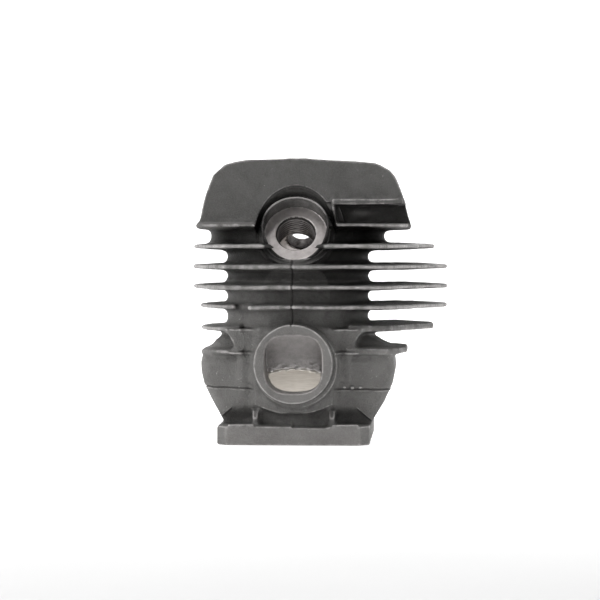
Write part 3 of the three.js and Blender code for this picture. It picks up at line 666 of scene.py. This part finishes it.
def make_object(name, points, faces, attributes, material):
    mesh = bpy.data.meshes.new(name)
    mesh.vertices.add(len(points))
    mesh.vertices.foreach_set("co", (np.asarray(points, dtype=np.float32) / 1000).ravel())
    mesh.loops.add(faces.size)
    mesh.loops.foreach_set("vertex_index", faces.astype(np.int32).ravel())
    mesh.polygons.add(len(faces))
    mesh.polygons.foreach_set("loop_start", np.arange(0, faces.size, faces.shape[1], dtype=np.int32))
    mesh.update(calc_edges=True)
    mesh.polygons.foreach_set("use_smooth", np.ones(len(faces), dtype=bool))
    for key, values in attributes.items():
        layer = mesh.attributes.new(key, "FLOAT", "POINT")
        layer.data.foreach_set("value", np.asarray(values, dtype=np.float32))
    mesh.materials.append(material)
    ob = bpy.data.objects.new(name, mesh)
    bpy.context.scene.collection.objects.link(ob)
    return ob


def spread(low, high, step, finer):
    """Grid coordinates from low to high, closer together near each of finer: (middle, half width, step)."""
    out = [low]
    while out[-1] < high:
        here = [fine for middle, half, fine in finer if abs(out[-1] - middle) < half]
        out.append(out[-1] + (min(here) if here and COARSE == 1 else step))
    return np.array(out, dtype=np.float32)


# where the grids are finer: round the plug's pocket, and along the die's marks
PLUG_GRID = ([(PLUG["x"], 17, 0.34)], [], [(80.5, 11, 0.34)])
SEAM_GRID = (
    [(DIE_SEAM_X, 0.9, 0.16)], [],
    [(PARTING_Z + 0.2, 1.4, 0.17), (FIN_Z["g"], 1.3, 0.2), (FIN_Z["f"], 1.3, 0.2)],
)


def section(node, field_of, step):
    """A node's share as a closed mesh. Past its border it runs on a hair below its neighbour's surface."""
    low, high = box_mm(node)
    fine = SEAM_GRID if node in ALONG_SEAMS else (SEAM_GRID[0], [], [])
    fine = PLUG_GRID if node == "head_fin_1" else fine
    axes = [spread(low[i] - 3.2, high[i] + 3.2, step[i] * COARSE, fine[i]) for i in range(3)]
    x, y, z = axes[0][:, None, None], axes[1][None, :, None], axes[2][None, None, :]
    total, share = field_of(x, y, z, [a[0] for a in axes], [a[-1] for a in axes], node)
    field = total
    if share is not None:
        field = np.maximum(total + np.clip(share * 0.16, 0, 0.12), share - 0.9)
    for axis in range(3):  # the mesh is closed at the edge of the grid
        edge = [slice(None)] * 3
        for end in (0, -1):
            edge[axis] = end
            field[tuple(edge)] = np.maximum(field[tuple(edge)], 0.2)
    points, faces = skin(field, axes)
    marks = {"bend": bend_of(total, axes, points, 0.7), "machined": machined_and_lit_share(points),
             "painted_shade": painted_shade_share(points)}
    return points, faces, marks


# ---------- materials ----------


class Shader:
    """Short names for building a node tree."""

    def __init__(self, name):
        self.material = bpy.data.materials.new(name)
        self.material.use_nodes = True
        self.nodes = self.material.node_tree.nodes
        self.links = self.material.node_tree.links
        self.bsdf = self.nodes["Principled BSDF"]
        self.place = self.nodes.new("ShaderNodeTexCoord").outputs["Object"]

    def put(self, value, socket):
        if isinstance(value, bpy.types.NodeSocket):
            self.links.new(value, socket)
        else:
            socket.default_value = value

    def noise(self, size_mm, detail=3.0, rough=0.55, warp=0.0, vector=None):
        node = self.nodes.new("ShaderNodeTexNoise")
        self.put(self.place if vector is None else vector, node.inputs["Vector"])
        node.inputs["Scale"].default_value = 1000 / size_mm
        node.inputs["Detail"].default_value = detail
        node.inputs["Roughness"].default_value = rough
        node.inputs["Distortion"].default_value = warp
        return node.outputs["Fac"]

    def cells(self, size_mm):
        node = self.nodes.new("ShaderNodeTexVoronoi")
        self.put(self.place, node.inputs["Vector"])
        node.inputs["Scale"].default_value = 1000 / size_mm
        return node.outputs["Distance"]

    def math(self, operation, a, b=0.0, clamp=False):
        node = self.nodes.new("ShaderNodeMath")
        node.operation = operation
        node.use_clamp = clamp
        self.put(a, node.inputs[0])
        self.put(b, node.inputs[1])
        return node.outputs[0]

    def span(self, value, a, b, low=0.0, high=1.0):
        """value from a..b turned into low..high, held at the ends."""
        node = self.nodes.new("ShaderNodeMapRange")
        node.interpolation_type = "SMOOTHSTEP"
        self.put(value, node.inputs["Value"])
        for key, number in (("From Min", a), ("From Max", b), ("To Min", low), ("To Max", high)):
            node.inputs[key].default_value = number
        return node.outputs["Result"]

    def blend(self, fac, a, b):
        node = self.nodes.new("ShaderNodeMix")
        node.data_type = "RGBA"
        self.put(fac, node.inputs["Factor"])
        for value, socket in ((a, node.inputs[6]), (b, node.inputs[7])):
            self.put(value if isinstance(value, bpy.types.NodeSocket) else (*value, 1), socket)
        return node.outputs[2]

    def lerp(self, fac, a, b):
        node = self.nodes.new("ShaderNodeMix")
        self.put(fac, node.inputs["Factor"])
        self.put(a, node.inputs[2])
        self.put(b, node.inputs[3])
        return node.outputs[0]

    def attribute(self, name):
        node = self.nodes.new("ShaderNodeAttribute")
        node.attribute_name = name
        return node.outputs["Fac"]

    def bump(self, height, strength, depth_mm, before=None):
        node = self.nodes.new("ShaderNodeBump")
        node.inputs["Strength"].default_value = strength
        node.inputs["Distance"].default_value = depth_mm / 1000
        self.put(height, node.inputs["Height"])
        if before is not None:
            self.put(before, node.inputs["Normal"])
        return node.outputs["Normal"]

    def rings(self, boss, pitch_mm):
        """Turning marks about a boss's axis."""
        shift = self.nodes.new("ShaderNodeVectorMath")
        shift.operation = "SUBTRACT"
        self.put(self.place, shift.inputs[0])
        shift.inputs[1].default_value = [boss[k] / 1000 for k in "xyz"]
        turn = self.nodes.new("ShaderNodeVectorRotate")
        turn.rotation_type = "X_AXIS"
        self.put(shift.outputs[0], turn.inputs["Vector"])
        turn.inputs["Angle"].default_value = -boss["side"] * boss["tilt"]
        wave = self.nodes.new("ShaderNodeTexWave")
        wave.wave_type = "RINGS"
        wave.rings_direction = "Y"
        self.put(turn.outputs[0], wave.inputs["Vector"])
        wave.inputs["Scale"].default_value = 1000 / pitch_mm / math.pi / 6.37
        wave.inputs["Distortion"].default_value = 0.4
        return wave.outputs["Fac"]


CAST_DARK = (0.105, 0.102, 0.098)
CAST_LIGHT = (0.15, 0.147, 0.142)
BARE = (0.5, 0.48, 0.475)
CUT = (0.36, 0.334, 0.327)


def cast_aluminium(name, tone):
    """Shot-blasted die casting: sandy grain, cloudy tone, rubbed edges, and bright where it was cut (and, as
    painted light, a little on the flange's front), with painted shade laid over deep places.
    """
    m = Shader(name)
    # the machined attribute also carries the painted light on the flange's front face
    bend, machined_and_lit_by = m.attribute("bend"), m.attribute("machined")
    cloud, patch = m.noise(16, 3, 0.6, 0.6), m.noise(3.2, 4, 0.65, 0.3)
    grain, dust = m.noise(0.42, 2, 0.6), m.noise(0.16, 1, 0.5)
    pits = m.span(m.cells(0.9), 0.0, 0.2, 1, 0)
    tone_mix = m.math("ADD", m.math("MULTIPLY", cloud, 0.55), m.math("MULTIPLY", patch, 0.45))
    dark, light = [tuple(c * tone for c in colour) for colour in (CAST_DARK, CAST_LIGHT)]
    body = m.blend(m.span(tone_mix, 0.36, 0.64), dark, light)
    speck = m.span(grain, 0.44, 0.66)
    body = m.blend(m.math("MULTIPLY", speck, 0.22), body, tuple(1.6 * c for c in light))
    body = m.blend(m.math("MULTIPLY", pits, 0.2), body, tuple(0.45 * c for c in dark))
    ragged = m.math("ADD", bend, m.span(patch, 0.3, 0.7, -0.3, 0.2))
    worn = m.math("MULTIPLY", m.span(ragged, 0.4, 1.8), m.span(grain, 0.25, 0.6, 0.7, 1), True)
    # darker in concave roots and creases, where the bend is below nought
    root_darkening = m.span(m.math("ADD", bend, m.span(patch, 0.3, 0.7, -0.25, 0.25)), -0.15, -0.9, 0, 0.55)
    body = m.blend(root_darkening, body, tuple(0.45 * c for c in dark))
    body = m.blend(m.math("MULTIPLY", worn, 0.8), body, BARE)
    scuffs = m.math("MULTIPLY", m.span(m.noise(1.3, 3, 0.6, 1.2), 0.66, 0.72), m.span(cloud, 0.5, 0.62))
    body = m.blend(m.math("MULTIPLY", scuffs, 0.55), body, BARE)
    cut_tone = m.blend(m.span(m.noise(2.2, 3), 0.35, 0.7), CUT, tuple(0.78 * c for c in CUT))
    bright = m.math("MULTIPLY", machined_and_lit_by, m.span(dust, 0.2, 0.5, 0.85, 1), True)
    # painted shade: where the shade attribute is high, the colour is blended towards near black
    painted_shade_amount = m.math("MULTIPLY", m.attribute("painted_shade"), 0.9)
    m.put(m.blend(painted_shade_amount, m.blend(bright, body, cut_tone), (0.011, 0.0105, 0.01)), m.bsdf.inputs["Base Color"])
    cast_rough = m.span(patch, 0.3, 0.7, 0.5, 0.66)
    rough = m.lerp(worn, cast_rough, 0.4)
    m.put(m.lerp(bright, rough, m.span(dust, 0.3, 0.7, 0.3, 0.42)), m.bsdf.inputs["Roughness"])
    metal = m.lerp(bright, m.lerp(worn, 0.35, 0.7), 0.6)
    # painted shade also makes the surface fully metallic, so that it gives back almost no diffuse light
    m.put(m.lerp(painted_shade_amount, metal, 1.0), m.bsdf.inputs["Metallic"])
    m.bsdf.inputs["Specular IOR Level"].default_value = 0.4
    fade = m.math("SUBTRACT", 1.0, machined_and_lit_by, True)
    sand = m.math("ADD", m.math("ADD", grain, m.math("MULTIPLY", dust, 0.5)), m.noise(1.1, 3, 0.65))
    normal = m.bump(m.math("MULTIPLY", sand, fade), 0.75, 0.4)
    normal = m.bump(m.math("MULTIPLY", patch, fade), 0.5, 0.5, normal)
    marks = m.math("MULTIPLY", m.rings(PLUG, 0.32), machined_and_lit_by)
    m.put(m.bump(marks, 0.35, 0.03, normal), m.bsdf.inputs["Normal"])
    return m.material


def plated_wall():
    """The hard-plated bore: warm grey, with fine rings left by the hone."""
    m = Shader("plated_bore")
    flat = m.nodes.new("ShaderNodeVectorMath")
    flat.operation = "MULTIPLY"
    m.put(m.place, flat.inputs[0])
    flat.inputs[1].default_value = (1, 1, 14)
    cloud, fine, hone = m.noise(9, 3), m.noise(0.3, 2), m.noise(4, 3, 0.6, 0.0, flat.outputs[0])
    tone = m.math("ADD", m.math("MULTIPLY", cloud, 0.4), m.math("MULTIPLY", hone, 0.6))
    m.put(m.blend(m.span(tone, 0.36, 0.64), (0.47, 0.44, 0.40), (0.57, 0.54, 0.50)),
          m.bsdf.inputs["Base Color"])
    m.put(m.span(fine, 0.3, 0.7, 0.4, 0.52), m.bsdf.inputs["Roughness"])
    m.bsdf.inputs["Metallic"].default_value = 0.45
    m.put(m.bump(m.math("ADD", fine, hone), 0.3, 0.03), m.bsdf.inputs["Normal"])
    return m.material


def glowing_floor():
    m = Shader("glowing_pale_floor")
    m.put(m.blend(m.noise(60, 2), (0.60, 0.60, 0.60), (0.63, 0.63, 0.63)), m.bsdf.inputs["Base Color"])
    m.bsdf.inputs["Roughness"].default_value = 0.9
    m.bsdf.inputs["Specular IOR Level"].default_value = 0.1
    # the floor and the dish's wall glow as a light, faint in front of the object and bright behind it
    m.bsdf.inputs["Emission Color"].default_value = (1, 1, 1, 1)
    north = m.nodes.new("ShaderNodeSeparateXYZ")
    m.put(m.place, north.inputs[0])
    m.put(m.span(north.outputs["Y"], -0.4, 0.1, 0.03, 0.85), m.bsdf.inputs["Emission Strength"])
    return m.material


# ---------- the object, one piece for each node ----------

LOOKS = {  # by the record's material slots
    "cast_aluminium": cast_aluminium("cast_aluminium", 1.0),
    # a darker copy of the same cast finish, at 0.62 of its tone
    "cast_aluminium_dark": cast_aluminium("cast_aluminium_dark", 0.62),
    "machined_aluminium": cast_aluminium("machined_aluminium", 1.0),
    "plated_bore": plated_wall(),
}
slot_of = {part["node"]: part["material_slot"] for part in frame["record"]["subparts"]}

# grid steps in X, Y and Z
STEPS = {
    "bore_lining": (0.6, 0.6, 0.8),
    "cylinder_barrel": (0.62, 0.62, 0.62),
    "combustion_head": (0.55, 0.55, 0.5),
    "base_flange": (0.5, 0.5, 0.4),
    "transfer_housing_left": (0.45, 0.5, 0.42),
    "transfer_housing_right": (0.45, 0.5, 0.42),
    "intake_spigot": (0.38, 0.4, 0.38),
    "exhaust_flange": (0.5, 0.5, 0.5),
    "flange_rib_left": (0.22, 0.4, 0.3),
    "flange_rib_right": (0.22, 0.4, 0.3),
    "spark_plug_boss": (0.28, 0.28, 0.28),
    "decompression_valve_boss": (0.3, 0.3, 0.3),
    "head_side_ledge": (0.35, 0.3, 0.3),
    "head_fin_1": (0.6, 0.33, 0.6),
}
FIN_STEP, PLATE_STEP = (0.8, 0.8, 0.32), (0.9, 0.4, 0.9)

for node in list(PARTS) + list(BOSSES) + ["bore_lining"]:
    step = STEPS.get(node, FIN_STEP if node.startswith("cooling_fin") else PLATE_STEP)
    points, faces, attributes = section(node, lining if node == "bore_lining" else casting, step)
    piece = make_object("look_" + node, points, faces, attributes, LOOKS[slot_of[node]])
    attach(piece, "root")
    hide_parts(node)

# ---------- camera, light and floor ----------

camera = bpy.data.objects.new("camera", bpy.data.cameras.new("camera"))
camera.data.lens, camera.data.sensor_width = 133.7, 36
camera.data.clip_end = 50
swing, distance = math.radians(3.15), 0.8
camera.location = (distance * math.sin(swing), -distance * math.cos(swing), 0.0685)
aim = Vector((0.00075, 0, 0.0495))
camera.rotation_euler = (aim - camera.location).to_track_quat("-Z", "Y").to_euler()
bpy.context.scene.collection.objects.link(camera)
bpy.context.scene.camera = camera


def soft_light(name, place, size, power, target=(0, 0, 0.05)):
    light = bpy.data.lights.new(name, "AREA")
    light.shape, light.size, light.size_y, light.energy = "RECTANGLE", size[0], size[1], power
    ob = bpy.data.objects.new(name, light)
    ob.location = place
    ob.rotation_euler = (Vector(target) - ob.location).to_track_quat("-Z", "Y").to_euler()
    bpy.context.scene.collection.objects.link(ob)


soft_light("left", (-0.85, -0.6, 0.55), (0.6, 0.8), 8.5)
soft_light("right", (0.95, -0.2, 0.45), (0.5, 0.8), 2.4)
soft_light("top", (-0.15, -0.1, 1.2), (0.6, 0.6), 7)
soft_light("rear", (0.1, 1.0, 0.7), (0.8, 0.5), 5)
soft_light("table", (0, 0, 0.001), (0.03, 0.03), 0.009, (0, 0, 0.1))

world = bpy.data.worlds.new("studio")
world.use_nodes = True
world.node_tree.nodes["Background"].inputs["Color"].default_value = (1, 1, 1, 1)
world.node_tree.nodes["Background"].inputs["Strength"].default_value = 0.08
bpy.context.scene.world = world
bpy.context.scene.view_settings.view_transform = "Standard"

# the floor is a wide dish: level under the object, curving up all round into a wall
level_r, curve_r, around = 1.3, 0.5, 96
dish = [(r, 0.0) for r in (0.05, 0.1, 0.2, 0.35, 0.5, 0.7, 0.9, 1.1, level_r)]
for t in np.linspace(0.13, math.pi / 2, 12):
    dish.append((level_r + curve_r * math.sin(t), curve_r - curve_r * math.cos(t)))
dish += [(level_r + curve_r, curve_r + 0.2 * k) for k in range(1, 8)]
turns = [2 * math.pi * j / around for j in range(around)]
dish_points = [(0, 0, 0)] + [(1000 * r * math.cos(t), 1000 * r * math.sin(t), 1000 * h)
                             for r, h in dish for t in turns]
dish_faces = []
for i in range(len(dish) - 1):
    for j in range(around):
        a, b = 1 + i * around, 1 + (i + 1) * around
        dish_faces.append((a + j, b + j, b + (j + 1) % around, a + (j + 1) % around))
for j in range(0, around, 2):
    dish_faces.append((0, 1 + j, 2 + j, 1 + (j + 2) % around))
floor = make_object("floor", np.array(dish_points) - (0, 0, 0.03), np.array(dish_faces), {}, glowing_floor())
